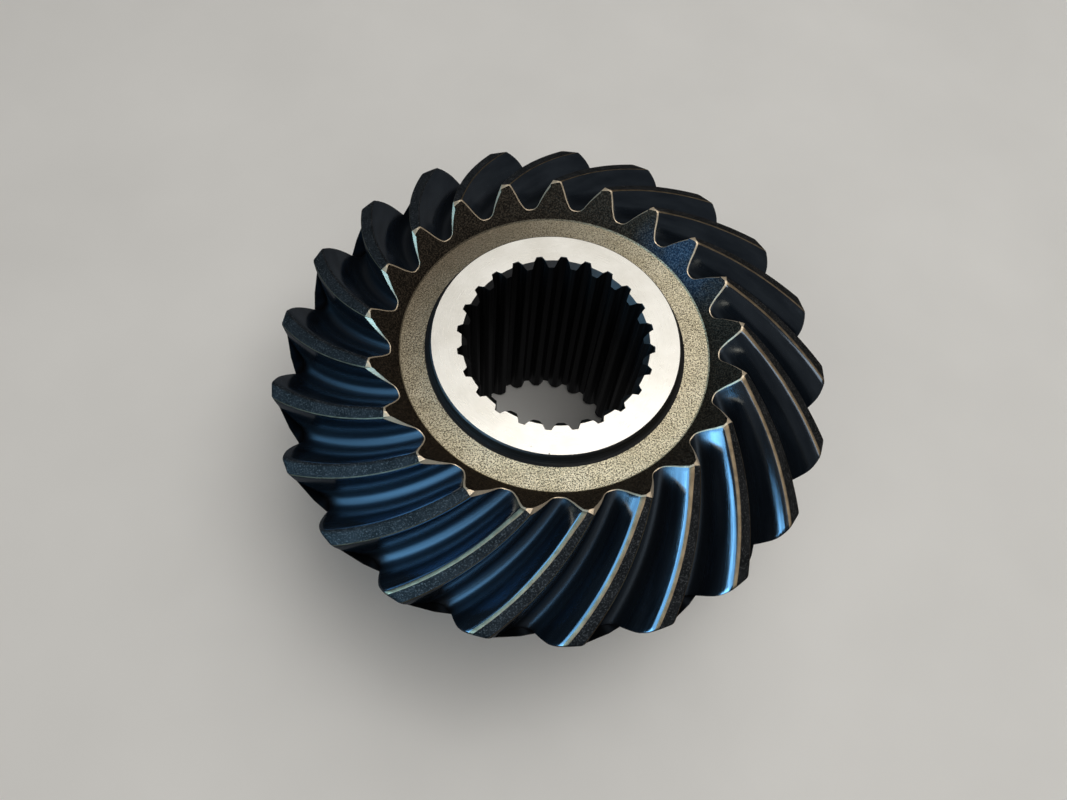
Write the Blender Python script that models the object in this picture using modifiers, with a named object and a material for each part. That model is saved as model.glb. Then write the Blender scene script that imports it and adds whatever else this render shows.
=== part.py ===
"""Right-hand spiral bevel gear with a splined bore and a long rear hub, forged in one piece.

The frame is in metres with +Z along the gear axis, from the rear hub towards the small end of
the teeth. The origin is the centre of the rear end face, which is the face the gear stands on.
The middle of one tooth, half-way along its length, lies on +X.

Words used below: the heel is the large end of a tooth and the toe its small end. A cone
distance is measured from the pitch apex along the pitch cone. A height is measured square to
the pitch cone, and is positive towards the tooth tip.
"""
import math

import bmesh
import bpy

MM = 0.001

# Tooth system.
TEETH = 21
MATE_TEETH = 15
OUTER_MODULE = 6.9 * MM
FACE_WIDTH = 32.0 * MM
SPIRAL_ANGLE = math.radians(35.0)
CUTTER_RADIUS = 88.9 * MM
PRESSURE_ANGLE = math.radians(22.5)
ADDENDUM = 0.63 * OUTER_MODULE
DEDENDUM = 1.09 * OUTER_MODULE
THICKNESS_FACTOR = 0.92
FILLET_START = 0.68

PITCH_ANGLE = math.atan2(TEETH, MATE_TEETH)
OUTER_CONE = 0.5 * TEETH * OUTER_MODULE / math.sin(PITCH_ANGLE)
INNER_CONE = OUTER_CONE - FACE_WIDTH
MEAN_CONE = OUTER_CONE - 0.5 * FACE_WIDTH
TOOTH_PITCH = 2.0 * math.pi / TEETH

# Heights along the axis, from the rear end face.
LENGTH = 74.0 * MM
APEX_Z = LENGTH + 35.0 * MM
RECESS_Z = LENGTH - 3.5 * MM
BACK_FACE_Z = 43.0 * MM
SHOULDER_Z = 41.0 * MM

# Turned diameters.
BOSS_DIAMETER = 65.0 * MM
RECESS_DIAMETER = 80.2 * MM
CROWN_DIAMETER = 150.2 * MM
SHOULDER_DIAMETER = 92.0 * MM
JOURNAL_DIAMETER = 70.0 * MM
RELIEF_DIAMETER = 69.0 * MM

# Turned details.
HEEL_OVERHANG = 1.4 * MM
RIM_HEIGHT = 16.5 * MM
BOSS_FILLET = 1.5 * MM
BOSS_CHAMFER = 0.4 * MM
RECESS_FILLET = 0.6 * MM
RELIEF_WIDTH = 2.5 * MM
JOURNAL_CHAMFER = 1.5 * MM
BACK_FILLET = 1.5 * MM

# Internal spline: involute, 30 degree pressure angle, drawn with straight flanks.
SPLINE_TEETH = 24
SPLINE_MODULE = 2.0 * MM
SPLINE_FLANK = math.radians(30.0)
SPLINE_PHASE = math.radians(2.6)
SPLINE_MINOR = 23.0 * SPLINE_MODULE
SPLINE_MAJOR = 25.55 * SPLINE_MODULE
SPLINE_SPACE = 3.3 * MM
SPLINE_ROOT_FILLET = 0.35 * MM
BORE_CHAMFER_DIAMETER = 48.8 * MM

# Share of the tip height and of the root width used to shape the tooth space's outline.
UPPER_FLANK = 0.7
LEAST_FLOOR = 0.15

# How far the cutters run past the surfaces that they cut.
TIP_OVERRUN = 1.5 * MM
TOE_OVERRUN = 5.0 * MM
HEEL_OVERRUN = 2.5 * MM
FACE_OVERRUN = 3.0 * MM
BROACH_OVERLAP = 1.0 * MM

# Mesh fineness.
LATHE_STEPS = 84
TOOTH_STATIONS = 9
FILLET_STEPS = 3
MERGE_DISTANCE = 0.01 * MM
DIAGONAL = math.sqrt(0.5)


def cone_point(cone, height):
    """Radius and z of a point at a cone distance and a height above the pitch cone."""
    radius = cone * math.sin(PITCH_ANGLE) + height * math.cos(PITCH_ANGLE)
    z = APEX_Z - cone * math.cos(PITCH_ANGLE) + height * math.sin(PITCH_ANGLE)
    return radius, z


# Distance from the pitch apex to the cutter's centre, in the pitch plane.
CUTTER_OFFSET = math.sqrt(MEAN_CONE ** 2 + CUTTER_RADIUS ** 2
                          - 2.0 * MEAN_CONE * CUTTER_RADIUS * math.sin(SPIRAL_ANGLE))


def spiral_angle(cone):
    """Angle between the tooth and the cone's straight line, at a cone distance."""
    return math.asin((cone ** 2 + CUTTER_RADIUS ** 2 - CUTTER_OFFSET ** 2)
                     / (2.0 * cone * CUTTER_RADIUS))


def cutter_bearing(cone):
    """Angle at the pitch apex between the tooth curve and the cutter's centre."""
    return math.acos((cone ** 2 + CUTTER_OFFSET ** 2 - CUTTER_RADIUS ** 2)
                     / (2.0 * cone * CUTTER_OFFSET))


def tooth_azimuth(cone):
    """Angle about the axis of a tooth's middle; the tooth lies on a circular arc."""
    return (cutter_bearing(cone) - cutter_bearing(MEAN_CONE)) / math.sin(PITCH_ANGLE)


def involute(angle):
    """The involute function."""
    return math.tan(angle) - angle


def tooth_half_angle(cone, height):
    """Half the tooth's thickness as an angle about the axis, from the back-cone involute."""
    pitch_radius = cone * math.tan(PITCH_ANGLE)
    transverse = math.atan(math.tan(PRESSURE_ANGLE) / math.cos(spiral_angle(cone)))
    base_radius = pitch_radius * math.cos(transverse)
    radius = max(pitch_radius + height, base_radius)
    half = 0.25 * math.pi * THICKNESS_FACTOR * OUTER_MODULE * cone / OUTER_CONE / pitch_radius
    half += involute(transverse) - involute(math.acos(base_radius / radius))
    return half / math.cos(PITCH_ANGLE)


def space_side(cone):
    """Half outline of a tooth space: (angle from the space's middle, height), top to root."""
    scale = cone / OUTER_CONE
    root = -DEDENDUM * scale
    fillet_start = FILLET_START * root

    def flank(height):
        return 0.5 * TOOTH_PITCH - tooth_half_angle(cone, height)

    heights = (ADDENDUM * scale + TIP_OVERRUN, UPPER_FLANK * ADDENDUM * scale, 0.0, fillet_start)
    side = [(flank(height), height) for height in heights]
    corner = flank(root)
    fillet_run = (fillet_start - root) / cone_point(cone, root)[0]
    floor = max(corner - fillet_run, LEAST_FLOOR * corner)
    for step in range(1, FILLET_STEPS + 1):
        t = step / FILLET_STEPS
        angle = (1 - t) ** 2 * flank(fillet_start) + 2 * t * (1 - t) * corner + t * t * floor
        side.append((angle, (1 - t) ** 2 * fillet_start + (1 - (1 - t) ** 2) * root))
    return side


def polar(radius, azimuth, z):
    """Point from cylindrical coordinates."""
    return radius * math.cos(azimuth), radius * math.sin(azimuth), z


def make_object(name, verts, faces, collection):
    """Closed mesh object with its faces turned outwards."""
    mesh = bpy.data.meshes.new(name)
    mesh.from_pydata(verts, [], faces)
    bm = bmesh.new()
    bm.from_mesh(mesh)
    bmesh.ops.recalc_face_normals(bm, faces=bm.faces[:])
    bm.to_mesh(mesh)
    bm.free()
    obj = bpy.data.objects.new(name, mesh)
    collection.objects.link(obj)
    return obj


def arc_points(centre, radius, start, end, steps):
    """Points of an arc in the (radius, z) plane; angles in degrees."""
    points = []
    for step in range(steps + 1):
        angle = math.radians(start + (end - start) * step / steps)
        points.append((centre[0] + radius * math.cos(angle), centre[1] + radius * math.sin(angle)))
    return points


def blank_outline():
    """Half section of the turned blank, from the axis at the front down to the rear face."""
    boss = 0.5 * BOSS_DIAMETER
    recess = 0.5 * RECESS_DIAMETER
    journal = 0.5 * JOURNAL_DIAMETER
    relief = 0.5 * RELIEF_DIAMETER
    shoulder = 0.5 * SHOULDER_DIAMETER
    heel = OUTER_CONE + HEEL_OVERHANG
    crown = 0.5 * CROWN_DIAMETER

    outline = [(0.0, LENGTH), (boss - BOSS_CHAMFER, LENGTH), (boss, LENGTH - BOSS_CHAMFER)]
    fillet_centre = (boss + BOSS_FILLET, RECESS_Z + BOSS_FILLET)
    outline += arc_points(fillet_centre, BOSS_FILLET, 180, 270, FILLET_STEPS)
    outline.append((recess - RECESS_FILLET, RECESS_Z))
    outline.append((recess + DIAGONAL * RECESS_FILLET, RECESS_Z + DIAGONAL * RECESS_FILLET))

    # The toe face is a 45 degree cone that starts at the recess's edge; it meets the face cone,
    # which runs straight at the pitch apex, at the toe tips.
    tip_slope = ADDENDUM / OUTER_CONE
    tip_dir = cone_point(1.0, tip_slope)
    drop = (APEX_Z - tip_dir[1]) / tip_dir[0]
    toe_radius = (APEX_Z - RECESS_Z + recess) / (1.0 + drop)
    outline.append((toe_radius, APEX_Z - drop * toe_radius))

    # The crown is turned to a cylinder, then the back cone runs square to the pitch cone.
    outline.append((crown, APEX_Z - drop * crown))
    crown_height = (crown - heel * math.sin(PITCH_ANGLE)) / math.cos(PITCH_ANGLE)
    outline.append(cone_point(heel, crown_height))
    rim = cone_point(heel, -RIM_HEIGHT)
    rim_run = (rim[1] - BACK_FACE_Z) / math.tan(PITCH_ANGLE)
    outline += [rim, (rim[0] - rim_run, BACK_FACE_Z)]

    outline += [(shoulder + BACK_FILLET, BACK_FACE_Z), (shoulder, BACK_FACE_Z - BACK_FILLET)]
    outline += [(shoulder, SHOULDER_Z), (relief, SHOULDER_Z), (relief, SHOULDER_Z - RELIEF_WIDTH)]
    outline += [(journal, SHOULDER_Z - RELIEF_WIDTH - (journal - relief))]
    outline += [(journal, JOURNAL_CHAMFER), (journal - JOURNAL_CHAMFER, 0.0), (0.0, 0.0)]
    return outline


def turn(name, outline, collection):
    """Solid of revolution about Z from an outline whose ends lie on the axis."""
    mesh = bpy.data.meshes.new(name)
    verts = [(radius, 0.0, z) for radius, z in outline]
    mesh.from_pydata(verts, [(i, i + 1) for i in range(len(verts) - 1)], [])
    obj = bpy.data.objects.new(name, mesh)
    collection.objects.link(obj)
    screw = obj.modifiers.new("turn", "SCREW")
    screw.axis = "Z"
    screw.angle = 2.0 * math.pi
    screw.steps = LATHE_STEPS
    screw.render_steps = LATHE_STEPS
    screw.use_merge_vertices = True
    screw.merge_threshold = MERGE_DISTANCE
    return obj


def tooth_space_cutters(collection):
    """One closed body for each tooth space, lofted between sections along the tooth."""
    first = INNER_CONE - TOE_OVERRUN
    last = OUTER_CONE + HEEL_OVERHANG + HEEL_OVERRUN
    sections = []
    for station in range(TOOTH_STATIONS + 1):
        cone = first + (last - first) * station / TOOTH_STATIONS
        side = space_side(cone)
        section = side + [(-angle, height) for angle, height in reversed(side)]
        sections.append((cone, section))
    count = len(sections[0][1])

    verts = []
    faces = []
    for space in range(TEETH):
        base = len(verts)
        middle = (space + 0.5) * TOOTH_PITCH
        for cone, section in sections:
            azimuth = middle + tooth_azimuth(cone)
            for angle, height in section:
                radius, z = cone_point(cone, height)
                verts.append(polar(radius, azimuth + angle, z))
        for station in range(TOOTH_STATIONS):
            for i in range(count):
                a = base + station * count + i
                b = base + station * count + (i + 1) % count
                faces.append((a, b, b + count, a + count))
        faces.append(tuple(base + i for i in range(count)))
        faces.append(tuple(base + TOOTH_STATIONS * count + i for i in range(count)))
    return make_object("tooth_spaces", verts, faces, collection)


def spline_outline():
    """Closed outline of the spline broach; its inner points lie inside the plain bore."""
    inner = 0.5 * SPLINE_MINOR - BROACH_OVERLAP
    major = 0.5 * SPLINE_MAJOR
    pitch_radius = 0.5 * SPLINE_TEETH * SPLINE_MODULE
    points = []
    for tooth in range(SPLINE_TEETH):
        middle = SPLINE_PHASE + 2.0 * math.pi * tooth / SPLINE_TEETH
        half = []
        for radius in (inner, major - SPLINE_ROOT_FILLET):
            width = 0.5 * SPLINE_SPACE - (radius - pitch_radius) * math.tan(SPLINE_FLANK)
            half.append((radius, width / radius))
        half.append((major, half[-1][1] - SPLINE_ROOT_FILLET / major))
        points += [(radius, middle - angle) for radius, angle in half]
        points += [(radius, middle + angle) for radius, angle in reversed(half)]
    return points


def spline_cutter(collection):
    """Prism that cuts the spline spaces right through the hub."""
    outline = spline_outline()
    count = len(outline)
    verts = []
    for z in (-FACE_OVERRUN, LENGTH + FACE_OVERRUN):
        verts += [polar(radius, angle, z) for radius, angle in outline]
    faces = [tuple(range(count)), tuple(range(count, 2 * count))]
    faces += [(i, (i + 1) % count, count + (i + 1) % count, count + i) for i in range(count)]
    return make_object("spline_broach", verts, faces, collection)


def bore_cutter(collection):
    """Plain bore at the spline's minor diameter, flared at 45 degrees through both end faces."""
    bore = 0.5 * SPLINE_MINOR
    depth = 0.5 * BORE_CHAMFER_DIAMETER - bore
    flare = bore + depth + FACE_OVERRUN
    top = LENGTH + FACE_OVERRUN
    outline = [(0.0, top), (flare, top), (bore, LENGTH - depth),
               (bore, depth), (flare, -FACE_OVERRUN), (0.0, -FACE_OVERRUN)]
    return turn("bore_drill", outline, collection)


def steel(name, colour, roughness):
    """Plain metal material."""
    material = bpy.data.materials.new(name)
    material.use_nodes = True
    shader = material.node_tree.nodes["Principled BSDF"]
    shader.inputs["Base Color"].default_value = (*colour, 1.0)
    shader.inputs["Roughness"].default_value = roughness
    shader.inputs["Metallic"].default_value = 1.0
    return material


def cut(obj, cutter):
    """Take a cutter away from a body."""
    boolean = obj.modifiers.new("cut_" + cutter.name, "BOOLEAN")
    boolean.operation = "DIFFERENCE"
    boolean.solver = "EXACT"
    boolean.object = cutter
    cutter.hide_render = True
    cutter.display_type = "WIRE"


def main():
    for obj in list(bpy.data.objects):
        bpy.data.objects.remove(obj, do_unlink=True)
    parts = bpy.data.collections.new("spiral_bevel_gear")
    cutters = bpy.data.collections.new("cutters")
    bpy.context.scene.collection.children.link(parts)
    bpy.context.scene.collection.children.link(cutters)

    gear = turn("spiral_bevel_gear", blank_outline(), parts)
    cut(gear, tooth_space_cutters(cutters))
    cut(gear, bore_cutter(cutters))
    cut(gear, spline_cutter(cutters))
    gear.data.materials.append(steel("blackened_steel", (0.045, 0.047, 0.052), 0.35))


main()
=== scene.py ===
"""Looks of the spiral bevel gear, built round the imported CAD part.

The visible gear is one closed skin of quads. It is a grid of rings: every ring has COLUMNS
points round the axis, and the rings run from the small ends of the teeth (toe) over the front
face, down the splined bore, over the rear hub and the back, and along the teeth from their
large ends (heel) back to the toe. Lengths are in metres in the CAD frame, +Z along the axis.
"""
import math

import bpy
import numpy as np
from mathutils import Matrix, Vector


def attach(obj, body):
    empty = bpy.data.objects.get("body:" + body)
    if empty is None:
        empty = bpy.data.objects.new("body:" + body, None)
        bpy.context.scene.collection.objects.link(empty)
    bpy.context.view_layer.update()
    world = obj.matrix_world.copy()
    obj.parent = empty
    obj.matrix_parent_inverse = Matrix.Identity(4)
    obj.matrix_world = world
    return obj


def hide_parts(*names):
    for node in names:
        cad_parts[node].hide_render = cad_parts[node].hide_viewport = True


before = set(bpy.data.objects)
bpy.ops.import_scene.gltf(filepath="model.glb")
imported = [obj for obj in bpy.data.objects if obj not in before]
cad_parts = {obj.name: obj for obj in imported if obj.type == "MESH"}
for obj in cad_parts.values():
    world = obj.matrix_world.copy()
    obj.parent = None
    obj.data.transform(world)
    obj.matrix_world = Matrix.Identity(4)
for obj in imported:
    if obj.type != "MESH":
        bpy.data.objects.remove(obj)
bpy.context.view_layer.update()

MM = 0.001

# Tooth system, as in the CAD part.
TEETH = 21
MATE_TEETH = 15
OUTER_MODULE = 6.9 * MM
FACE_WIDTH = 32.0 * MM
SPIRAL_ANGLE = math.radians(35.0)
CUTTER_RADIUS = 88.9 * MM
PRESSURE_ANGLE = math.radians(22.5)
ADDENDUM = 0.63
DEDENDUM = 1.09
THICKNESS_FACTOR = 0.92
FILLET_START = 0.68
LEAST_FLOOR = 0.15
PITCH_ANGLE = math.atan2(TEETH, MATE_TEETH)
SIN_PITCH = math.sin(PITCH_ANGLE)
COS_PITCH = math.cos(PITCH_ANGLE)
OUTER_CONE = 0.5 * TEETH * OUTER_MODULE / SIN_PITCH
MEAN_CONE = OUTER_CONE - 0.5 * FACE_WIDTH
CUTTER_OFFSET = math.sqrt(MEAN_CONE ** 2 + CUTTER_RADIUS ** 2
                          - 2.0 * MEAN_CONE * CUTTER_RADIUS * math.sin(SPIRAL_ANGLE))
TOOTH_PITCH = 2.0 * math.pi / TEETH

# Heights over the pitch cone, as shares of the cone distance.
TIP = ADDENDUM * OUTER_MODULE / OUTER_CONE
ROOT = -DEDENDUM * OUTER_MODULE / OUTER_CONE

# Blank, with the CAD part's sizes and finer edges.
LENGTH = 74.0 * MM
APEX_Z = LENGTH + 35.0 * MM
RECESS_Z = LENGTH - 3.5 * MM
BACK_FACE_Z = 43.0 * MM
SHOULDER_Z = 41.0 * MM
BOSS_RADIUS = 32.5 * MM
RECESS_RADIUS = 40.1 * MM
CROWN_RADIUS = 75.1 * MM
SHOULDER_RADIUS = 46.0 * MM
JOURNAL_RADIUS = 35.0 * MM
RELIEF_RADIUS = 34.5 * MM
RELIEF_WIDTH = 2.5 * MM
HEEL_OVERHANG = 1.4 * MM
HEEL_CONE = OUTER_CONE + HEEL_OVERHANG
RIM_HEIGHT = 16.5 * MM
RIM_ROUNDING = 0.6 * MM
BOSS_FILLET = 1.5 * MM
BOSS_CHAMFER = 0.4 * MM
RECESS_LIP = 0.45 * MM
RECESS_FILLET = ((0.15 * MM, 0.06 * MM), (-0.4 * MM, 0.0))
JOURNAL_CHAMFER = 1.5 * MM
JOURNAL_ROUNDING = 0.1 * MM
RELIEF_FILLET = 0.8 * MM
SHOULDER_CHAMFER = 0.5 * MM
SHOULDER_FLARE = 1.5 * MM

# Spline, with the CAD part's sizes and finer edges.
SPLINES = 24
SPLINE_PITCH_RADIUS = 24.0 * MM
SPLINE_MINOR = 23.0 * MM
SPLINE_MAJOR = 25.55 * MM
SPLINE_SPACE = 3.3 * MM
SPLINE_FLANK = math.radians(30.0)
SPLINE_PHASE = math.radians(2.6)
SPLINE_CORNER = 0.35 * MM
SPLINE_TIP_BREAK = 0.12 * MM
BORE_CHAMFER_RADIUS = 24.4 * MM
BORE_BREAK = 0.15 * MM

# Mesh fineness: steps on half of a tooth pitch and on half of a spline pitch, rows along the
# teeth, and how far each of the heel's rings has turned from the flank to the end face.
ROOT_STEPS, FILLET_STEPS, FLANK_STEPS, CHAMFER_STEPS, LAND_STEPS = 3, 6, 9, 2, 4
HALF = ROOT_STEPS + FILLET_STEPS + FLANK_STEPS + CHAMFER_STEPS + LAND_STEPS
COLUMNS = 2 * HALF * TEETH
SPLINE_HALF = COLUMNS // (2 * SPLINES)
SPLINE_TIP_STEPS, SPLINE_FLANK_STEPS, SPLINE_CORNER_STEPS, SPLINE_MAJOR_STEPS = 4, 3, 3, 4
TOOTH_ROWS = 44
HEEL_TURNS = np.radians([90.0, 60.0, 30.0])
SHARP_ANGLE = math.radians(32.0)
UNIFORM = np.arange(COLUMNS) * (2.0 * math.pi / COLUMNS)

# Finishes, in the order of the gear's material slots.
(FLANK, LAND, EDGE, FACET, TOE_FACE, RECESS, WALL, FACE, BORE, BORE_EDGE, TURNED,
 JOURNAL) = range(12)


def cone_point(cone, height):
    """Radius and z at a cone distance and a height over the pitch cone."""
    radius = cone * SIN_PITCH + height * COS_PITCH
    return radius, APEX_Z - cone * COS_PITCH + height * SIN_PITCH


def tooth_azimuth(cone):
    """Angle about the axis of a tooth's middle, on its circular arc."""
    def bearing(distance):
        return np.arccos((distance ** 2 + CUTTER_OFFSET ** 2 - CUTTER_RADIUS ** 2)
                         / (2.0 * distance * CUTTER_OFFSET))
    return (bearing(cone) - bearing(MEAN_CONE)) / SIN_PITCH


def tooth_half_angle(cone, height):
    """Half of the tooth's thickness as an angle about the axis."""
    spiral = np.arcsin((cone ** 2 + CUTTER_RADIUS ** 2 - CUTTER_OFFSET ** 2)
                       / (2.0 * cone * CUTTER_RADIUS))
    transverse = np.arctan(math.tan(PRESSURE_ANGLE) / np.cos(spiral))
    pitch_radius = cone * math.tan(PITCH_ANGLE)
    base_radius = pitch_radius * np.cos(transverse)
    at = np.arccos(base_radius / np.maximum(pitch_radius + height, base_radius))
    half = 0.25 * math.pi * THICKNESS_FACTOR * OUTER_MODULE / OUTER_CONE / math.tan(PITCH_ANGLE)
    half = half + (np.tan(transverse) - transverse) - (np.tan(at) - at)
    return half / COS_PITCH


def toe_cone(slope):
    """Cone distance at which a line of constant height share meets the 45 degree toe face."""
    return (APEX_Z - RECESS_Z + RECESS_RADIUS) / (SIN_PITCH + COS_PITCH
                                                  + slope * (COS_PITCH - SIN_PITCH))


# Chamfers along the tooth tips. Side -1 is the concave flank and side +1 the convex one. They
# are dressed by hand: their width varies slowly round the gear, with a little scatter.
CHAMFER_RUN = {-1: 0.62 * MM, 1: 0.24 * MM}
CHAMFER_DEPTH = {-1: 0.40 * MM, 1: 0.22 * MM}
TOE_FLARE = {-1: 0.55, 1: 0.3}
FLARE_LENGTH = 0.10
EDGE_MEAN = 0.74
EDGE_VARIATION = 0.40
EDGE_WIDEST = math.radians(282.0)
EDGE_SCATTER = 0.06
EDGE_SCATTER_STEP = 2.4
EDGE_SCATTER_START = 0.7
# Teeth whose concave chamfers are painted dark as painted shade, as chamfers that catch no light.
UNLIT_CHAMFER_TEETH = range(8, 15)
LEAST_LAND = 0.25 * MM

# Relief of the concave flanks: at the toe, and crowning towards the tip, which fades at the toe.
TOE_RELIEF = 0.62 * MM
RELIEF_LENGTH = 4.6 * MM
RELIEF_BEND = 1.6 * MM
RELIEF_RISE = 0.45
CROWNING = 0.50 * MM
CROWNING_START = -3.0 * MM
CROWNING_FADE = 0.6

# Edge breaks of the tooth ends: filed facets at the toe, and a rounding at the heel. A facet
# runs further along the flank than it cuts down the end face, by the factor of its slant.
CREST_BREAK = 0.38 * MM
FLANK_BREAK = {-1: 0.20 * MM, 1: 1.05 * MM}
FLANK_BREAK_SLANT = 1.4
THIN_BREAK = 0.16 * MM
BREAK_CURVE = 1.3
HEEL_ROUNDING = 1.0 * MM
HEEL_VARIATION = 0.5 * MM
HEEL_ROUNDEST = math.radians(150.0)
HEEL_ROOT_ROUNDING = 0.25 * MM
CROWN_ROUNDING = 2.0 * MM

# Rings of the back cone near the crown: heights over its edge, and the least step between them.
CROWN_LEVELS = (0.9 * MM, 0.3 * MM, -0.3 * MM, -0.9 * MM)
CROWN_STEP = 0.1 * MM

# Pattern of the finishes: the shift of the grain from one tooth space to the next, and the
# middle of a painted blue reflection of the sky on the toe face.
GRAIN_SHIFT = 0.137
BLUE_REFLECTION_MIDDLE = (32.0 * MM, 31.0 * MM, 72.0 * MM)

# Camera, fitted to the photograph.
SENSOR_WIDTH = 36.0
FOCAL_LENGTH = 28.649
CAMERA_TURN = math.radians(1.3308)
CAMERA_TILT = math.radians(64.2687)
CAMERA_ROLL = math.radians(7.1769)
CAMERA_DISTANCE_IN_MM = 210.927
CAMERA_AIM = Vector((-3.47, -18.215, 74.0)) * MM

# Stage.
FLOOR_SIZE = 3.0
GEAR_MIDDLE = (0.0, 0.0, 0.06)
LOWER_LEFT_TEETH = (-0.045, -0.045, 0.055)
WARM = (1.0, 0.97, 0.92)
SKY = (0.30, 0.68, 1.0)
WORLD = (0.06, 0.06, 0.06, 1.0)


def soft_minimum(a, b, width):
    """The smaller of two lengths, rounded over where they are close."""
    share = np.clip(0.5 + 0.5 * (b - a) / width, 0.0, 1.0)
    return b + (a - b) * share - width * share * (1.0 - share)


def heel_cone(slope):
    """Cone distance at which such a line ends, on the back cone or on the crown's cylinder."""
    crown = CROWN_RADIUS / (SIN_PITCH + slope * COS_PITCH)
    return soft_minimum(crown, HEEL_CONE, CROWN_ROUNDING)


def edge_scale(tooth):
    """How wide a tooth's hand-dressed chamfers are; they vary slowly round the gear."""
    wave = math.cos(tooth * TOOTH_PITCH - EDGE_WIDEST)
    scatter = math.sin(EDGE_SCATTER_STEP * tooth * tooth + EDGE_SCATTER_START)
    return EDGE_MEAN + EDGE_VARIATION * wave + EDGE_SCATTER * scatter


def half_profile(share, cone_of, side, tooth):
    """Half outline of a tooth space at a share of the way from toe to heel.

    Returns the angle from the space's middle, the height share and the cone distance of
    HALF + 1 points, from the middle of the space to the middle of the tooth's land.
    """
    near = toe_cone(TIP) + share * (HEEL_CONE - toe_cone(TIP))
    scale = edge_scale(tooth) * (1.0 + TOE_FLARE[side] * math.exp(-share / FLARE_LENGTH))
    start = FILLET_START * ROOT
    top = TIP - scale * CHAMFER_DEPTH[side] / near

    bend = np.linspace(1.0, 0.0, FILLET_STEPS + 1)[1:]
    slope = np.concatenate([
        np.full(ROOT_STEPS + 1, ROOT),
        (1.0 - bend) ** 2 * start + (1.0 - (1.0 - bend) ** 2) * ROOT,
        np.linspace(start, top, FLANK_STEPS + 1)[1:],
        np.linspace(top, TIP, CHAMFER_STEPS + 1)[1:],
        np.full(LAND_STEPS, TIP),
    ])
    cone = cone_of(slope)
    radius = cone * (SIN_PITCH + slope * COS_PITCH)

    def flank(at_slope):
        return 0.5 * TOOTH_PITCH - tooth_half_angle(cone, at_slope * cone)

    first = ROOT_STEPS + 1
    second = first + FILLET_STEPS
    third = second + FLANK_STEPS
    corner = flank(ROOT)
    foot = flank(start)
    run = (start - ROOT) * cone / radius
    bottom = np.maximum(corner - run, LEAST_FLOOR * corner)
    angle = np.empty(HALF + 1)
    angle[:first] = np.linspace(0.0, 1.0, first) * bottom[:first]
    blend = ((1.0 - bend) ** 2, 2.0 * bend * (1.0 - bend), bend ** 2)
    angle[first:second] = (blend[0] * foot[first:second] + blend[1] * corner[first:second]
                           + blend[2] * bottom[first:second])
    angle[second:third] = flank(slope)[second:third]
    relief = np.zeros(HALF + 1)
    if side < 0:
        ahead = RELIEF_LENGTH - (cone - toe_cone(slope))
        ahead = -soft_minimum(-ahead, np.zeros(HALF + 1), RELIEF_BEND) / RELIEF_LENGTH
        rise = np.clip((slope - ROOT) / (RELIEF_RISE * (TIP - ROOT)), 0.0, 1.0)
        crown = np.clip((slope * cone - CROWNING_START) / (TIP * cone - CROWNING_START), 0.0, 1.0)
        relief = TOE_RELIEF * ahead * rise ** 2 * (3.0 - 2.0 * rise)
        relief = (relief + CROWNING * crown ** 2 * (1.0 - CROWNING_FADE * ahead)) / radius
    angle = angle + relief
    low = angle[third - 1]
    high = flank(TIP)[third] + relief[third] + scale * CHAMFER_RUN[side] / radius[third]
    high = min(high, 0.5 * TOOTH_PITCH - LEAST_LAND / radius[third])
    fourth = third + CHAMFER_STEPS
    angle[third:fourth] = low + (high - low) * np.linspace(0.0, 1.0, CHAMFER_STEPS + 1)[1:]
    land = np.linspace(0.0, 1.0, LAND_STEPS + 1)[1:]
    angle[fourth:] = high + (0.5 * TOOTH_PITCH - high) * land
    return angle, slope, cone


def pulled_in(profile, width, cone_of):
    """The outline moved into the metal by a width at each point, still on the same end face."""
    angle, slope, cone = profile
    radius = cone * (SIN_PITCH + slope * COS_PITCH)
    along = np.gradient(angle * radius.mean())
    up = np.gradient(slope * cone)
    along[0], up[0] = 1.0, 0.0
    along[-1], up[-1] = 1.0, 0.0
    length = np.hypot(along, up)
    new_angle = angle + width * up / length / radius
    new_slope = slope - width * along / length / cone
    return new_angle, new_slope, cone_of(new_slope)


def head_ring(maker):
    """One ring of the toothed head: azimuth, radius, z and height share of its points.

    The maker gives the half outline of a tooth space for a side and a tooth.
    """
    azimuth, slope, cone = [], [], []
    for tooth in range(TEETH):
        for side, order in ((-1, slice(0, HALF + 1)), (1, slice(HALF - 1, 0, -1))):
            angle, height, distance = maker(side, tooth)
            turn = tooth * TOOTH_PITCH + side * (0.5 * TOOTH_PITCH - angle)
            azimuth.append((turn + tooth_azimuth(distance))[order])
            slope.append(height[order])
            cone.append(distance[order])
    azimuth, slope, cone = (np.concatenate(part) for part in (azimuth, slope, cone))
    radius, z = cone_point(cone, slope * cone)
    return azimuth, radius, z, slope


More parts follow.
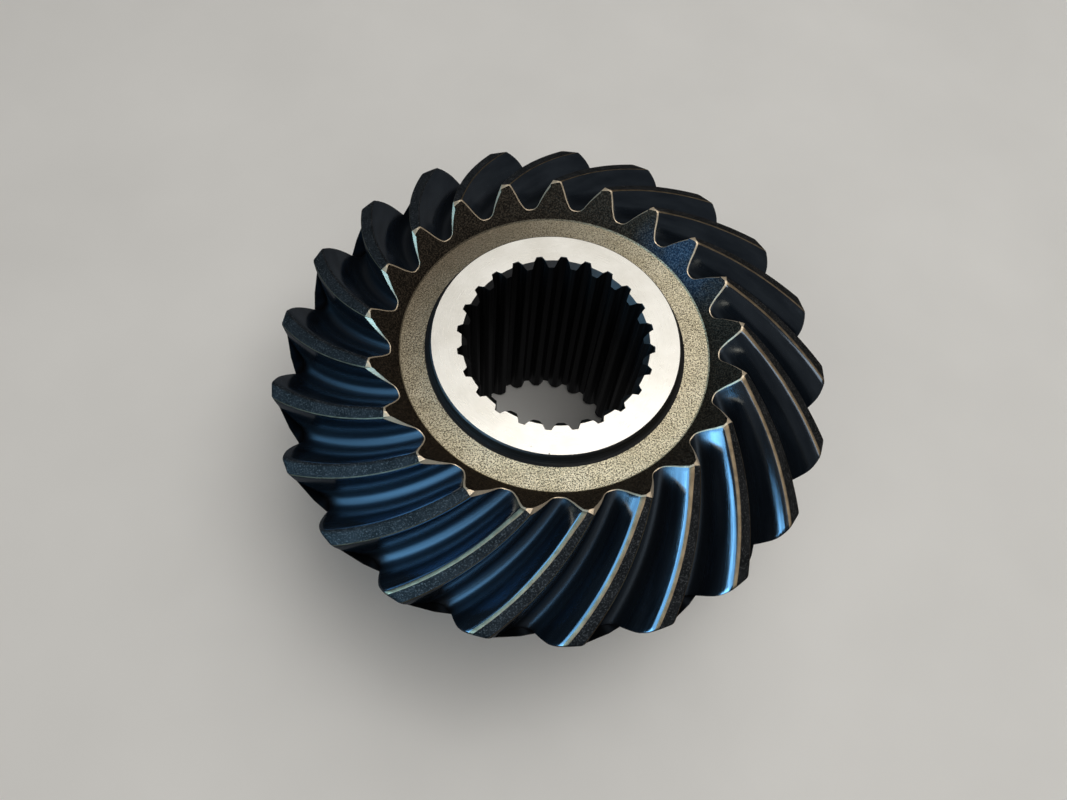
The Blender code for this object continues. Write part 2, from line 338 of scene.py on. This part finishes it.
class Skin:
    """Rings of points, with the finish of the band of faces between each ring and the next."""

    def __init__(self):
        self.points = []
        self.bands = []
        self.grain = []

    def ring(self, azimuth, radius, z, finish, grain=None):
        """Adds a ring; finish is for the band that starts at it."""
        shape = np.ones(COLUMNS)
        self.points.append(np.stack([radius * np.cos(azimuth) * shape,
                                     radius * np.sin(azimuth) * shape, z * shape], axis=1))
        self.bands.append(np.broadcast_to(finish, (COLUMNS,)).copy())
        self.grain.append(np.zeros((COLUMNS, 3)) if grain is None else grain)

    def mesh(self, name):
        """The skin as a closed mesh; the last ring joins the first."""
        count = len(self.points)
        quads = []
        column = np.arange(COLUMNS)
        beside = (column + 1) % COLUMNS
        for row in range(count):
            here = row * COLUMNS
            after = (row + 1) % count * COLUMNS
            quads.append(np.stack([here + column, here + beside,
                                   after + beside, after + column], axis=1))
        quads = np.concatenate(quads)
        mesh = bpy.data.meshes.new(name)
        mesh.from_pydata(np.concatenate(self.points).tolist(), [], quads.tolist())
        mesh.polygons.foreach_set("material_index", np.concatenate(self.bands))
        mesh.polygons.foreach_set("use_smooth", np.ones(len(quads), dtype=bool))
        layer = mesh.attributes.new("grain", "FLOAT_VECTOR", "POINT")
        layer.data.foreach_set("vector", np.concatenate(self.grain).ravel())
        mesh.update()
        return mesh


def break_widths(crest, flank, thin):
    """Width of an end face's edge break at each point of a half outline."""
    width = np.zeros(HALF + 1)
    first = ROOT_STEPS + 1 + FILLET_STEPS // 2
    top = HALF - LAND_STEPS - CHAMFER_STEPS
    width[:first] = thin
    rise = np.linspace(0.0, 1.0, top + 1 - first) ** BREAK_CURVE
    width[first:top + 1] = rise * (flank - thin) + thin
    width[top:] = np.linspace(flank, crest, HALF + 1 - top)
    return width


def heel_width(tooth):
    """Width of the rounding round a tooth's heel."""
    width = HEEL_ROUNDING + HEEL_VARIATION * math.cos(tooth * TOOTH_PITCH - HEEL_ROUNDEST)
    return break_widths(width, width, HEEL_ROOT_ROUNDING)


def toothed_head(skin):
    """Rings along the teeth, from the heel's end face to the toe's.

    Returns the azimuth and height share of the heel's ring, and the toe's ring, which isn't
    added to the skin yet.
    """
    land = LAND_STEPS
    chamfer = LAND_STEPS + CHAMFER_STEPS
    finish = np.full((TEETH, 2 * HALF), FLANK)
    finish[:, HALF - chamfer:HALF + chamfer] = EDGE
    # Painted shade: on these teeth the concave chamfers take the dark land finish instead of the
    # bright chamfer finish.
    finish[UNLIT_CHAMFER_TEETH, HALF - chamfer:HALF] = LAND
    finish[:, HALF - land:HALF + land] = LAND
    finish = finish.ravel()

    space = (np.arange(COLUMNS) + HALF) // (2 * HALF)

    def tooth_grain(share, slope):
        return np.stack([np.full(COLUMNS, share * FACE_WIDTH), slope * OUTER_CONE,
                         space * GRAIN_SHIFT], axis=1)

    # Rounded heel, from its end face on to the flanks.
    heel = []
    for turn in HEEL_TURNS:
        def heel_ring(side, tooth):
            width = heel_width(tooth)

            def cone_of(slope):
                return heel_cone(slope) - width * (1.0 - math.sin(turn))
            profile = half_profile(1.0, cone_of, side, tooth)
            return pulled_in(profile, width * (1.0 - math.cos(turn)), cone_of)

        azimuth, radius, z, slope = head_ring(heel_ring)
        skin.ring(azimuth, radius, z, finish, tooth_grain(1.0, slope))
        heel.append((azimuth, slope))

    # Along the teeth; the last band is the toe's facet.
    for row in range(TOOTH_ROWS + 1):
        share = 1.0 - row / TOOTH_ROWS

        def tooth_ring(side, tooth):
            toe_width = break_widths(CREST_BREAK, FLANK_BREAK_SLANT * FLANK_BREAK[side],
                                     THIN_BREAK)

            def cone_of(slope):
                begin = toe_cone(slope) + toe_width
                end = heel_cone(slope) - heel_width(tooth)
                return begin + share * (end - begin)
            return half_profile(share, cone_of, side, tooth)

        azimuth, radius, z, slope = head_ring(tooth_ring)
        skin.ring(azimuth, radius, z, finish if row < TOOTH_ROWS else FACET,
                  tooth_grain(share, slope))

    def toe_ring(side, tooth):
        profile = half_profile(0.0, toe_cone, side, tooth)
        width = break_widths(CREST_BREAK, FLANK_BREAK[side], THIN_BREAK)
        return pulled_in(profile, width, toe_cone)

    return heel[0], head_ring(toe_ring)


def spline_outline():
    """Azimuth and radius of the bore's outline, one point for each column."""
    def half_space(radius):
        return (0.5 * SPLINE_SPACE - (radius - SPLINE_PITCH_RADIUS)
                * math.tan(SPLINE_FLANK)) / radius

    # Half a spline pitch: tooth tip, flank, fillet, and the floor of the space.
    flank_top = SPLINE_MAJOR - SPLINE_CORNER
    knots = np.concatenate([
        np.linspace(SPLINE_MINOR + SPLINE_TIP_BREAK, BORE_CHAMFER_RADIUS, SPLINE_TIP_STEPS + 1),
        np.linspace(BORE_CHAMFER_RADIUS, flank_top, SPLINE_FLANK_STEPS + 1)[1:],
    ])
    bend = np.linspace(0.0, 1.0, SPLINE_CORNER_STEPS + 1)[1:]
    edge = half_space(flank_top)
    turned = SPLINE_CORNER / SPLINE_MAJOR
    fillet_radius = flank_top + SPLINE_CORNER * (1.0 - (1.0 - bend) ** 2)
    fillet_angle = edge - turned * bend ** 2
    minor_steps = SPLINE_HALF - len(knots) - len(bend) - SPLINE_MAJOR_STEPS
    top = half_space(SPLINE_MINOR) + SPLINE_TIP_BREAK / SPLINE_MINOR
    angle = np.concatenate([
        np.linspace(math.pi / SPLINES, top, minor_steps + 1),
        half_space(knots),
        fillet_angle,
        np.linspace(edge - turned, 0.0, SPLINE_MAJOR_STEPS + 1)[1:],
    ])
    radius = np.concatenate([
        np.full(minor_steps + 1, SPLINE_MINOR),
        knots,
        fillet_radius,
        np.full(SPLINE_MAJOR_STEPS, SPLINE_MAJOR),
    ])

    # Mirrored, and repeated round the bore.
    angle = np.concatenate([-angle, angle[-2:0:-1]])
    radius = np.concatenate([radius, radius[-2:0:-1]])
    tooth = np.repeat(np.arange(SPLINES), 2 * SPLINE_HALF)
    azimuth = np.tile(angle, SPLINES) + tooth * (2.0 * math.pi / SPLINES) + SPLINE_PHASE
    return azimuth, np.tile(radius, SPLINES)


def arc(centre, radius, start, end, steps):
    """Points (radius, z) on an arc; angles in degrees."""
    turn = np.radians(np.linspace(start, end, steps + 1))
    return [(centre[0] + radius * math.cos(a), centre[1] + radius * math.sin(a)) for a in turn]


def add_front(skin, toe, even):
    """Toe face, recess, and the boss up to its ground face."""
    toe_azimuth, toe_radius, toe_z, _ = toe

    # Toe face: the 45 degree cone from the tooth ends in to the recess.
    drop = RECESS_Z - RECESS_RADIUS
    lip = RECESS_RADIUS + RECESS_LIP
    skin.ring(toe_azimuth, toe_radius, toe_z, TOE_FACE)
    for share in (0.35, 0.7):
        radius = toe_radius + share * (lip - toe_radius)
        skin.ring(toe_azimuth + share * (even - toe_azimuth), radius, radius + drop, TOE_FACE)
    skin.ring(even, lip, lip + drop, RECESS)
    for outward, upward in RECESS_FILLET:
        skin.ring(even, RECESS_RADIUS + outward, RECESS_Z + upward, RECESS)

    for radius, z in arc((BOSS_RADIUS + BOSS_FILLET, RECESS_Z + BOSS_FILLET), BOSS_FILLET,
                         270, 180, 6):
        skin.ring(even, radius, z, WALL)
    skin.ring(even, BOSS_RADIUS, LENGTH - BOSS_CHAMFER, BORE_EDGE)
    skin.ring(even, BOSS_RADIUS - BOSS_CHAMFER, LENGTH, FACE)


def add_bore(skin, even):
    """Front face inwards from the boss, the splined bore, and the rear face's first ring."""
    # The outline is turned by whole columns, so that its points lie near the even ones.
    azimuth, radius = spline_outline()
    turn = round(np.mean(even - azimuth) / (2.0 * math.pi / COLUMNS))
    wraps = np.floor((np.arange(COLUMNS) + turn) / COLUMNS)
    azimuth = np.roll(azimuth, -turn) + 2.0 * math.pi * wraps
    radius = np.roll(radius, -turn)

    face_radius = np.maximum(BORE_CHAMFER_RADIUS, radius + BORE_BREAK)
    outside = BOSS_RADIUS - BOSS_CHAMFER
    for share in (0.4, 0.8):
        skin.ring(even + share * (azimuth - even),
                  outside + share * (face_radius - BOSS_RADIUS + BOSS_CHAMFER), LENGTH, FACE)
    skin.ring(azimuth, face_radius, LENGTH, BORE_EDGE)
    depth = face_radius - radius
    skin.ring(azimuth, radius, LENGTH - depth, BORE)
    skin.ring(azimuth, radius, 0.5 * LENGTH, BORE)
    skin.ring(azimuth, radius, depth, BORE_EDGE)
    skin.ring(azimuth, face_radius, 0.0, TURNED)


def add_rear(skin, even):
    """Rear end face, journal, relief groove, shoulder and back, out to the rim."""
    skin.ring(even, JOURNAL_RADIUS - JOURNAL_CHAMFER, 0.0, TURNED)
    skin.ring(even, JOURNAL_RADIUS - JOURNAL_ROUNDING, JOURNAL_CHAMFER - JOURNAL_ROUNDING, JOURNAL)
    skin.ring(even, JOURNAL_RADIUS, JOURNAL_CHAMFER + JOURNAL_ROUNDING, JOURNAL)
    neck = SHOULDER_Z - RELIEF_WIDTH
    skin.ring(even, JOURNAL_RADIUS, neck - (JOURNAL_RADIUS - RELIEF_RADIUS), TURNED)
    skin.ring(even, RELIEF_RADIUS, neck, TURNED)
    skin.ring(even, RELIEF_RADIUS, SHOULDER_Z - RELIEF_FILLET, TURNED)
    for radius, z in arc((RELIEF_RADIUS + RELIEF_FILLET, SHOULDER_Z - RELIEF_FILLET),
                         RELIEF_FILLET, 180, 90, 5)[1:]:
        skin.ring(even, radius, z, TURNED)
    skin.ring(even, SHOULDER_RADIUS - SHOULDER_CHAMFER, SHOULDER_Z, TURNED)
    skin.ring(even, SHOULDER_RADIUS, SHOULDER_Z + SHOULDER_CHAMFER, TURNED)
    skin.ring(even, SHOULDER_RADIUS + SHOULDER_FLARE, BACK_FACE_Z, TURNED)

    rim_radius, rim_z = cone_point(HEEL_CONE, -RIM_HEIGHT)
    run = (rim_z - BACK_FACE_Z) / math.tan(PITCH_ANGLE)
    skin.ring(even, rim_radius - run, BACK_FACE_Z, TURNED)
    skin.ring(even, rim_radius - RIM_ROUNDING * COS_PITCH, rim_z - RIM_ROUNDING * SIN_PITCH,
              TURNED)
    skin.ring(even, *cone_point(HEEL_CONE, RIM_ROUNDING - RIM_HEIGHT), TURNED)


def add_back_cone(skin, heel, even):
    """Back cone, from the rim out to the teeth's heels, with rings of its own at the crown."""
    heel_azimuth, slope = heel
    crown_slope = (CROWN_RADIUS / HEEL_CONE - SIN_PITCH) / COS_PITCH
    levels = []
    for level in CROWN_LEVELS:
        slope = np.minimum(slope - CROWN_STEP / HEEL_CONE, crown_slope + level / HEEL_CONE)
        levels.append((heel_azimuth, slope))
    low_slope = (RIM_ROUNDING - RIM_HEIGHT) / HEEL_CONE
    for share in (0.75, 0.5, 0.25):
        levels.append((even + share * (heel_azimuth - even),
                       low_slope + share * (slope - low_slope)))
    for azimuth, height in reversed(levels):
        cone = heel_cone(height)
        skin.ring(azimuth, *cone_point(cone, height * cone), TURNED)


def gear_skin():
    """The whole gear, from the heels over the teeth, front, bore and rear back to the heels."""
    skin = Skin()
    heel, toe = toothed_head(skin)
    even = UNIFORM + np.mean(toe[0] - UNIFORM)
    add_front(skin, toe, even)
    add_bore(skin, even)
    add_rear(skin, even)
    add_back_cone(skin, heel, even)
    return skin


class Graph:
    """A Principled material that is built up node by node.

    The colour and roughness given at the start are plain stand-ins, for viewers that don't
    read the nodes.
    """

    def __init__(self, name, colour, metallic, roughness):
        self.material = bpy.data.materials.new(name)
        self.material.use_nodes = True
        self.tree = self.material.node_tree
        self.shader = self.tree.nodes["Principled BSDF"]
        self.shader.inputs["Base Color"].default_value = (*colour, 1.0)
        self.shader.inputs["Metallic"].default_value = metallic
        self.shader.inputs["Roughness"].default_value = roughness
        self.place = self.tree.nodes.new("ShaderNodeTexCoord").outputs["Object"]

    def node(self, kind, inputs=(), **settings):
        """Adds a node; inputs are (socket, value or output) pairs."""
        node = self.tree.nodes.new("ShaderNode" + kind)
        for name, value in settings.items():
            setattr(node, name, value)
        for socket, value in inputs:
            if isinstance(value, bpy.types.NodeSocket):
                self.tree.links.new(value, node.inputs[socket])
            else:
                node.inputs[socket].default_value = value
        return node

    def stretched(self, vector, factors):
        """A vector multiplied by three factors."""
        return self.node("VectorMath", [(0, vector), (1, factors)],
                         operation="MULTIPLY").outputs["Vector"]

    def grain(self, factors=(1.0, 1.0, 1.0)):
        """The mesh's grain coordinates: along the tooth, over its height, and its number."""
        node = self.node("Attribute", attribute_name="grain")
        return self.stretched(node.outputs["Vector"], factors)

    def noise(self, vector, scale, detail=3.0, rough=0.55):
        """Noise between 0 and 1."""
        return self.node("TexNoise", [("Vector", vector), ("Scale", scale), ("Detail", detail),
                                      ("Roughness", rough)]).outputs["Fac"]

    def rings(self, fineness, length):
        """Noise in rings round the axis, like turning marks; length is how far a mark runs."""
        flat = self.stretched(self.place, (1.0, 1.0, 0.0))
        radius = self.node("VectorMath", [(0, flat)], operation="LENGTH").outputs["Value"]
        around = self.node("VectorMath", [(0, flat)], operation="NORMALIZE").outputs["Vector"]
        around = self.stretched(around, (length, length, 1.0))
        height = self.stretched(self.place, (0.0, 0.0, fineness))
        vector = self.node("VectorMath", [(0, around), (1, height)]).outputs["Vector"]
        offset = self.node("Math", [(0, radius), (1, fineness)],
                           operation="MULTIPLY").outputs["Value"]
        return self.node("TexNoise", [("Vector", vector), ("W", offset), ("Scale", 1.0),
                                      ("Detail", 3.0), ("Roughness", 0.6)],
                         noise_dimensions="4D").outputs["Fac"]

    def cells(self, vector, scale):
        """Distance to the nearest of scattered points."""
        return self.node("TexVoronoi", [("Vector", vector),
                                        ("Scale", scale)]).outputs["Distance"]

    def ramp(self, value, low, high, start=0.0, end=1.0):
        """A value moved from one range to another, and held inside it."""
        return self.node("MapRange", [("Value", value), ("From Min", low), ("From Max", high),
                                      ("To Min", start), ("To Max", end)],
                         clamp=True).outputs["Result"]

    def product(self, a, b):
        """Two values multiplied."""
        return self.node("Math", [(0, a), (1, b)], operation="MULTIPLY").outputs["Value"]

    def mixed(self, factor, a, b):
        """A colour between two colours."""
        a = a if isinstance(a, bpy.types.NodeSocket) else (*a, 1.0)
        b = b if isinstance(b, bpy.types.NodeSocket) else (*b, 1.0)
        node = self.node("Mix", [(0, factor), (6, a), (7, b)], data_type="RGBA")
        return node.outputs[2]

    def colour(self, value):
        self.tree.links.new(value, self.shader.inputs["Base Color"])

    def roughness(self, value):
        self.tree.links.new(value, self.shader.inputs["Roughness"])

    def bump(self, height, distance, strength=1.0):
        """Relief; a second call lays its relief over the first."""
        inputs = [("Height", height), ("Distance", distance), ("Strength", strength)]
        socket = self.shader.inputs["Normal"]
        if socket.is_linked:
            inputs.append(("Normal", socket.links[0].from_socket))
        self.tree.links.new(self.node("Bump", inputs).outputs["Normal"], socket)


def flank_material():
    """Lapped, blue-tinted tooth flanks and roots, with faint marks along the teeth. The roots and
    low flanks are unlapped and rougher, and painted darker as shade deep in the tooth spaces.
    """
    g = Graph("lapped_flank", (0.045, 0.065, 0.095), 0.98, 0.10)
    patches = g.noise(g.grain((70.0, 260.0, 1000.0)), 1.0)
    streaks = g.noise(g.grain((120.0, 3200.0, 1000.0)), 1.0, 4.0)
    tint = g.mixed(g.ramp(patches, 0.35, 0.68), (0.105, 0.135, 0.175), (0.19, 0.235, 0.29))
    worn = g.mixed(g.ramp(streaks, 0.60, 0.80, 0.0, 0.55), tint, (0.24, 0.28, 0.33))
    height = g.node("SeparateXYZ", [(0, g.grain())]).outputs["Y"]
    # Painted shade, partly real: low on the flank and in the root the steel is unlapped and
    # rougher, and its colour is painted darker for the shade between the teeth.
    lapped_and_unshaded = g.ramp(height, -6.0 * MM, -1.5 * MM)
    g.colour(g.mixed(lapped_and_unshaded, (0.050, 0.064, 0.082), worn))
    gloss = g.ramp(streaks, 0.3, 0.75, 0.10, 0.20)
    g.roughness(g.node("MapRange", [("Value", lapped_and_unshaded), ("To Min", 0.42),
                                    ("To Max", gloss)]).outputs["Result"])
    g.bump(streaks, 0.012 * MM)
    return g.material


def land_material():
    """Rough dark top lands, left as they came from the furnace and the blast."""
    g = Graph("tooth_land", (0.03, 0.033, 0.04), 0.6, 0.6)
    g.shader.inputs["Specular IOR Level"].default_value = 0.12
    g.shader.inputs["Specular Tint"].default_value = (0.20, 0.17, 0.14, 1.0)
    grit = g.noise(g.place, 2600.0, 3.0, 0.6)
    broad = g.noise(g.place, 220.0)
    base = g.mixed(g.ramp(broad, 0.35, 0.7), (0.012, 0.013, 0.014), (0.024, 0.025, 0.027))
    g.colour(g.mixed(g.ramp(grit, 0.52, 0.70), base, (0.105, 0.107, 0.110)))
    g.roughness(g.ramp(grit, 0.35, 0.7, 0.50, 0.70))
    g.bump(grit, 0.06 * MM)
    return g.material


def edge_material():
    """Bare chamfers along the tooth edges. Their cream colour is partly bare steel and partly a
    painted highlight along the edges.
    """
    g = Graph("bare_chamfer_highlight", (0.5, 0.44, 0.33), 1.0, 0.30)
    g.shader.inputs["Specular Tint"].default_value = (0.42, 0.37, 0.31, 1.0)
    stain = g.noise(g.place, 420.0)
    fine = g.noise(g.place, 3200.0)
    # Partly painted highlight: the cream tones are bare steel and also stand in for the light that
    # the edges catch.
    base = g.mixed(g.ramp(stain, 0.35, 0.70), (0.21, 0.16, 0.105), (0.34, 0.265, 0.175))
    g.colour(g.mixed(g.ramp(fine, 0.62, 0.80, 0.0, 0.6), base, (0.09, 0.08, 0.065)))
    g.roughness(g.ramp(fine, 0.3, 0.7, 0.36, 0.50))
    g.bump(fine, 0.02 * MM)
    return g.material


def facet_material():
    """Filed edge breaks at the toe ends. Their pale colour is partly filed bare steel and partly a
    painted highlight along the toe outlines.
    """
    g = Graph("filed_facet_highlight", (0.72, 0.64, 0.50), 0.70, 0.32)
    scratch = g.noise(g.stretched(g.place, (900.0, 900.0, 6000.0)), 1.0)
    # Partly painted highlight: the pale tones are filed steel and also stand in for the light that
    # the toe edges catch.
    g.colour(g.mixed(g.ramp(scratch, 0.3, 0.7), (0.76, 0.62, 0.45), (0.54, 0.44, 0.32)))
    g.roughness(g.ramp(scratch, 0.3, 0.7, 0.40, 0.52))
    g.bump(scratch, 0.012 * MM)
    return g.material


def blasted_material(name, dark, light, spot, stain, metallic, grit_size, relief,
                     painted_blue_reflection=False):
    """Shot-blasted scale, speckled at the size of the shot, and darker on one side of the gear as
    painted shade (on the toe face that side is a little lighter, as painted light).

    If asked, it has a painted reflection: a patchy blue patch round one point, for blue sky
    mirrored in the face.
    """
    g = Graph(name, dark, metallic, 0.55)
    g.shader.inputs["Specular Tint"].default_value = (0.50, 0.43, 0.36, 1.0)
    grit = g.noise(g.place, 1.0 / grit_size, 3.0, 0.65)
    broad = g.noise(g.place, 160.0, 4.0)
    craters = g.cells(g.place, 0.8 / grit_size)
    base = g.mixed(g.ramp(broad, 0.35, 0.68), dark, light)
    # Painted light and shade: towards the gear's -X, +Y side the colour is pulled to one given
    # tone, for how the light falls on the face.
    side = g.node("VectorMath", [(0, g.place), (1, (-0.80, 0.60, 0.0))],
                  operation="DOT_PRODUCT").outputs["Value"]
    base = g.mixed(g.ramp(side, -10.0 * MM, 40.0 * MM, 0.0, 0.93), base, stain)
    # Painted reflection: a patchy blue patch round one point of the toe face stands in for the
    # blue sky mirrored there; its speckles turn blue too.
    if painted_blue_reflection:
        away = g.node("VectorMath", [(0, g.place), (1, BLUE_REFLECTION_MIDDLE)],
                      operation="DISTANCE").outputs["Value"]
        reflected_blue = g.product(g.ramp(away, 4.0 * MM, 17.0 * MM, 1.0, 0.0),
                          g.ramp(broad, 0.22, 0.50))
        base = g.mixed(reflected_blue, base, (0.009, 0.021, 0.042))
        spot = g.mixed(reflected_blue, spot, (0.095, 0.135, 0.185))
    g.colour(g.mixed(g.ramp(grit, 0.46, 0.62), base, spot))
    g.roughness(g.ramp(grit, 0.3, 0.7, 0.42, 0.66))
    g.bump(grit, relief)
    g.bump(craters, 0.7 * relief)
    return g.material


def wall_material():
    """Boss wall and its fillet, dark and smooth."""
    g = Graph("boss_wall", (0.014, 0.014, 0.015), 0.4, 0.6)
    g.shader.inputs["Specular IOR Level"].default_value = 0.2
    g.shader.inputs["Specular Tint"].default_value = (0.35, 0.35, 0.35, 1.0)
    marks = g.rings(5200.0, 3.0)
    g.colour(g.mixed(g.ramp(marks, 0.4, 0.7), (0.010, 0.010, 0.011), (0.030, 0.029, 0.028)))
    g.bump(marks, 0.012 * MM)
    return g.material


def face_material():
    """Ground front face with fine rings, a few stains and small pits."""
    g = Graph("ground_face", (0.80, 0.78, 0.73), 1.0, 0.3)
    marks = g.rings(6500.0, 5.0)
    stain = g.noise(g.place, 95.0, 4.0)
    pits = g.cells(g.place, 210.0)
    rust = g.noise(g.place, 150.0, 2.0)
    base = g.mixed(g.ramp(stain, 0.35, 0.70), (0.86, 0.845, 0.80), (0.74, 0.72, 0.665))
    base = g.mixed(g.ramp(marks, 0.55, 0.80, 0.0, 0.5), base, (0.60, 0.585, 0.55))
    spot = g.product(g.ramp(pits, 0.055, 0.085, 1.0, 0.0), g.ramp(rust, 0.60, 0.64))
    g.colour(g.mixed(spot, base, (0.10, 0.085, 0.07)))
    g.roughness(g.ramp(marks, 0.3, 0.7, 0.24, 0.40))
    g.bump(marks, 0.006 * MM)
    return g.material


def bore_material():
    """Blackened spline, with faint broach marks along the bore."""
    g = Graph("broached_spline", (0.014, 0.014, 0.015), 0.85, 0.42)
    marks = g.noise(g.stretched(g.place, (2600.0, 2600.0, 45.0)), 1.0)
    g.colour(g.mixed(g.ramp(marks, 0.4, 0.75), (0.010, 0.010, 0.011), (0.034, 0.034, 0.036)))
    g.roughness(g.ramp(marks, 0.3, 0.7, 0.34, 0.52))
    g.bump(marks, 0.015 * MM)
    return g.material


def turned_material(name, dark, light, rough, fineness):
    """Turned or ground steel, with marks in rings round the axis."""
    g = Graph(name, dark, 1.0, rough)
    marks = g.rings(fineness, 4.0)
    stain = g.noise(g.place, 70.0, 4.0)
    base = g.mixed(g.ramp(stain, 0.35, 0.70), dark, light)
    g.colour(g.mixed(g.ramp(marks, 0.58, 0.80, 0.0, 0.5), base, tuple(1.6 * c for c in light)))
    g.roughness(g.ramp(marks, 0.3, 0.7, 0.8 * rough, 1.2 * rough))
    g.bump(marks, 0.014 * MM)
    return g.material


def floor_material():
    """Pale matt studio floor with a very slight mottle."""
    g = Graph("studio_floor", (0.74, 0.74, 0.73), 0.0, 0.7)
    mottle = g.noise(g.place, 14.0)
    g.colour(g.mixed(g.ramp(mottle, 0.3, 0.7), (0.80, 0.80, 0.79), (0.85, 0.85, 0.84)))
    return g.material


def softbox(name, azimuth, elevation, distance, width, height, radiance, aim, colour,
            roll=0.0):
    """Area light in a direction from a point, facing that point; angles in degrees."""
    light = bpy.data.lights.new(name, "AREA")
    light.color = colour
    light.shape = "RECTANGLE"
    light.size = width
    light.size_y = height
    light.energy = radiance * math.pi * width * height
    turn, tilt = math.radians(azimuth), math.radians(elevation)
    way = Vector((math.cos(turn) * math.cos(tilt), math.sin(turn) * math.cos(tilt),
                  math.sin(tilt)))
    lamp = bpy.data.objects.new(name, light)
    lamp.location = Vector(aim) + way * distance
    spin = Matrix.Rotation(math.radians(roll), 3, "Z")
    lamp.rotation_euler = (way.to_track_quat("Z", "Y").to_matrix() @ spin).to_euler()
    lamp.visible_camera = False
    bpy.context.scene.collection.objects.link(lamp)
    return lamp


def make_camera():
    """Camera at the photograph's viewing angle, distance and roll."""
    lens = bpy.data.cameras.new("camera")
    lens.sensor_width = SENSOR_WIDTH
    lens.lens = FOCAL_LENGTH
    back = Vector((math.sin(CAMERA_TURN) * math.cos(CAMERA_TILT),
                   -math.cos(CAMERA_TURN) * math.cos(CAMERA_TILT), math.sin(CAMERA_TILT)))
    level = Vector((0.0, 0.0, 1.0)).cross(back).normalized()
    upright = back.cross(level)
    right = level * math.cos(CAMERA_ROLL) + upright * math.sin(CAMERA_ROLL)
    up = upright * math.cos(CAMERA_ROLL) - level * math.sin(CAMERA_ROLL)
    camera = bpy.data.objects.new("camera", lens)
    camera.matrix_world = (Matrix.Translation(CAMERA_AIM + back * CAMERA_DISTANCE_IN_MM * MM)
                           @ Matrix((right, up, back)).transposed().to_4x4())
    bpy.context.scene.collection.objects.link(camera)
    bpy.context.scene.camera = camera


def make_gear():
    """The visible gear with its finishes, in place of the CAD part's one node."""
    mesh = gear_skin().mesh("spiral_bevel_gear_skin")
    mesh.set_sharp_from_angle(angle=SHARP_ANGLE)
    gear = bpy.data.objects.new("spiral_bevel_gear_skin", mesh)
    bpy.context.scene.collection.objects.link(gear)
    finishes = {
        FLANK: flank_material(),
        LAND: land_material(),
        EDGE: edge_material(),
        FACET: facet_material(),
        TOE_FACE: blasted_material("blasted_toe_face", (0.006, 0.005, 0.004),
                                   (0.011, 0.009, 0.007), (0.070, 0.055, 0.040),
                                   (0.012, 0.010, 0.008), 0.75, 0.40 * MM, 0.12 * MM,
                                   painted_blue_reflection=True),
        RECESS: blasted_material("blasted_recess", (0.77, 0.69, 0.49),
                                 (0.90, 0.82, 0.62), (0.11, 0.092, 0.062),
                                 (0.13, 0.10, 0.072), 0.85, 0.36 * MM, 0.12 * MM),
        WALL: wall_material(),
        FACE: face_material(),
        BORE: bore_material(),
        BORE_EDGE: turned_material("bore_chamfer", (0.045, 0.045, 0.047),
                                   (0.075, 0.075, 0.077), 0.5, 5000.0),
        TURNED: turned_material("turned_back", (0.040, 0.041, 0.045),
                                (0.060, 0.061, 0.066), 0.40, 2200.0),
        JOURNAL: turned_material("ground_journal", (0.50, 0.49, 0.47),
                                 (0.60, 0.59, 0.57), 0.26, 7000.0),
    }
    for slot in range(len(finishes)):
        mesh.materials.append(finishes[slot])
    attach(gear, "root")
    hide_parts("spiral_bevel_gear")
    return gear


def make_floor():
    """Pale floor. It isn't mirrored by the gear, and it doesn't shade it."""
    mesh = bpy.data.meshes.new("floor")
    mesh.from_pydata([(x * FLOOR_SIZE, y * FLOOR_SIZE, 0.0)
                      for x, y in ((-1, -1), (1, -1), (1, 1), (-1, 1))], [], [(0, 1, 2, 3)])
    floor = bpy.data.objects.new("floor", mesh)
    bpy.context.scene.collection.objects.link(floor)
    mesh.materials.append(floor_material())
    floor.visible_glossy = False
    floor.visible_shadow = False


def make_lights(gear):
    """Warm softboxes from above, and blue sky on the left that lights only the gear."""
    softbox("back_softbox", 64.0, 60.0, 1.1, 1.2, 0.8, 0.90, GEAR_MIDDLE, WARM)
    softbox("top_softbox", 0.0, 76.0, 1.3, 0.9, 0.9, 2.8, GEAR_MIDDLE, WARM)
    softbox("front_softbox", 258.0, 57.0, 1.3, 1.9, 0.36, 1.6, GEAR_MIDDLE, WARM)
    only_gear = bpy.data.collections.new("only_gear")
    only_gear.objects.link(gear)
    sky = softbox("sky_softbox", 197.0, 21.0, 1.5, 1.55, 0.90, 3.2, GEAR_MIDDLE, SKY, 14.0)
    corner = softbox("corner_softbox", 238.0, 22.0, 0.12, 0.12, 0.08, 4.5, LOWER_LEFT_TEETH, SKY)
    for lamp in (sky, corner):
        lamp.light_linking.receiver_collection = only_gear


def make_world():
    """Dark surroundings, and colours shown as they are."""
    world = bpy.data.worlds.new("studio")
    bpy.context.scene.world = world
    world.use_nodes = True
    world.node_tree.nodes["Background"].inputs["Color"].default_value = WORLD
    bpy.context.scene.view_settings.view_transform = "Standard"


make_camera()
visible_gear = make_gear()
make_floor()
make_lights(visible_gear)
make_world()
